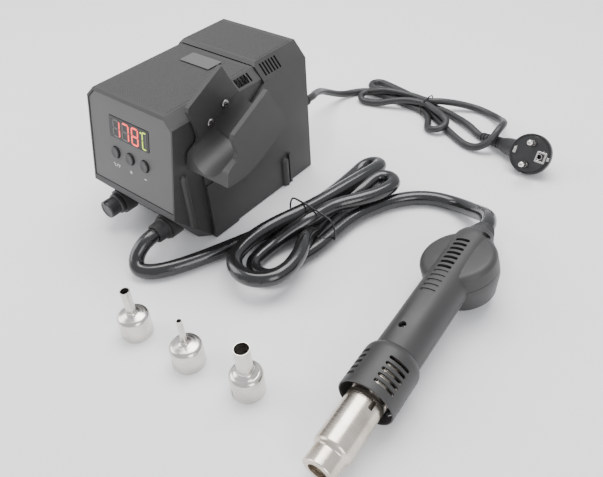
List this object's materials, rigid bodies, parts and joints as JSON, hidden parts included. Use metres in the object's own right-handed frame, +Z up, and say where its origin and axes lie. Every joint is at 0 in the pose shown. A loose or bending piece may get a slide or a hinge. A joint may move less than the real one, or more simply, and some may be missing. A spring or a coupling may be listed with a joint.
{
  "type": "hot air rework station",
  "caption": "Bench hot air rework station: a unit with a sloping control panel and a side cradle, a straight round handset with a steel barrel on a hose, a mains lead and loose nozzles.",
  "frame": {"origin": "on the bench, under the middle of the box round the unit, its handset and its nozzles", "axes": "+Z up, -Y towards the control panel, +X towards the cradle side"},
  "size_m": [0.3188, 0.4106, 0.1387],
  "materials": {
    "casing": "fine satin texture, dark charcoal",
    "panel": "satin dark grey sheet",
    "keys": "smooth black",
    "window": "smoked gloss window",
    "display": "dark display block",
    "board": "green board",
    "component": "black moulded parts",
    "copper": "lacquered copper wire",
    "laminate": "stacked laminations",
    "alloy": "satin",
    "screw_steel": "plated screw",
    "rubber": "matt black rubber",
    "barrel_steel": "satin stainless with a warm tint",
    "nozzle_steel": "polished stainless",
    "ceramic": "matt ceramic",
    "hose": "smooth glossy sheath",
    "lead": "satin sheath",
    "pins": "nickel plated",
    "tie_wire": "plastic coated wire",
    "print": "pale printed marks",
    "digits": "lit red figures",
    "unit_sign": "lit yellow-green sign",
    "earth_metal": "nickel plated earth contact"
  },
  "bodies": {
    "station": {"front_shell": "casing", "rear_cover": "casing", "base_plate": "casing", "cradle": "casing", "front_panel": "panel", "roof_plate": "panel", "display_window": "window", "display_module": "display", "control_board": "board", "power_board": "board", "key_switch_1": "component", "key_switch_2": "component", "key_switch_3": "component", "mains_fuse": "component", "power_switch_housing": "component", "transformer_coil": "copper", "transformer_core": "laminate", "triac_heatsink": "alloy", "airflow_potentiometer": "alloy", "foot_screw_1": "screw_steel", "foot_screw_2": "screw_steel", "cradle_screw_1": "screw_steel", "cradle_screw_2": "screw_steel", "rubber_foot_1": "rubber", "rubber_foot_2": "rubber", "rubber_foot_3": "rubber", "rubber_foot_4": "rubber", "hose_gland": "rubber", "mains_strain_relief": "rubber", "hose_lead": "hose", "hose_bundle": "hose", "hose_tail": "hose", "mains_lead": "lead", "mains_bundle": "lead", "plug_body": "lead", "plug_strain_relief": "lead", "plug_pin_1": "pins", "plug_pin_2": "pins", "hose_tie": "tie_wire", "mains_tie": "tie_wire"},
    "airflow_knob": {"airflow_knob": "keys"},
    "button_unit": {"button_unit": "keys"},
    "button_up": {"button_up": "keys"},
    "button_down": {"button_down": "keys"},
    "power_rocker": {"power_rocker": "component"},
    "handset": {"handset_upper_shell": "casing", "handset_lower_shell": "casing", "handset_screw_1": "screw_steel", "handset_screw_2": "screw_steel", "nozzle_guard": "casing", "heater_barrel": "barrel_steel", "heater_core": "ceramic", "blower_motor": "alloy", "hose_cuff": "rubber"},
    "blower_impeller": {"blower_impeller": "component"},
    "nozzle_medium": {"nozzle_medium": "nozzle_steel"},
    "nozzle_small": {"nozzle_small": "nozzle_steel"},
    "nozzle_large": {"nozzle_large": "nozzle_steel"}
  },
  "joints": [
    {"name": "airflow_turn", "type": "hinge", "parent": "station", "child": "airflow_knob", "pos_m": [-0.13275, -0.05521, 0.02], "axis": [0, 1, 0], "range_deg": [-140, 140]},
    {"name": "button_unit_press", "type": "slide", "parent": "station", "child": "button_unit", "axis": [0, 0.9774, -0.2113], "range_m": [0, 0.001], "stiffness_N_per_m": 600},
    {"name": "button_up_press", "type": "slide", "parent": "station", "child": "button_up", "axis": [0, 0.9774, -0.2113], "range_m": [0, 0.001], "stiffness_N_per_m": 600},
    {"name": "button_down_press", "type": "slide", "parent": "station", "child": "button_down", "axis": [0, 0.9774, -0.2113], "range_m": [0, 0.001], "stiffness_N_per_m": 600},
    {"name": "rocker_tilt", "type": "hinge", "parent": "station", "child": "power_rocker", "pos_m": [-0.13075, 0.10739, 0.052], "axis": [1, 0, 0], "range_deg": [-18, 0]},
    {"name": "handset_lift", "type": "slide", "parent": "station", "child": "handset", "axis": [0, 0, 1], "range_m": [0, 0.05]},
    {"name": "blower_spin", "type": "hinge", "parent": "handset", "child": "blower_impeller", "pos_m": [0.1316, 0.04174, 0.02711], "axis": [-0.2542, -0.0826, 0.9636], "continuous": true},
    {"name": "nozzle_medium_lift", "type": "slide", "parent": "station", "child": "nozzle_medium", "axis": [0, 0, 1], "range_m": [0, 0.06]},
    {"name": "nozzle_small_lift", "type": "slide", "parent": "station", "child": "nozzle_small", "axis": [0, 0, 1], "range_m": [0, 0.06]},
    {"name": "nozzle_large_lift", "type": "slide", "parent": "station", "child": "nozzle_large", "axis": [0, 0, 1], "range_m": [0, 0.06]}
  ]
}
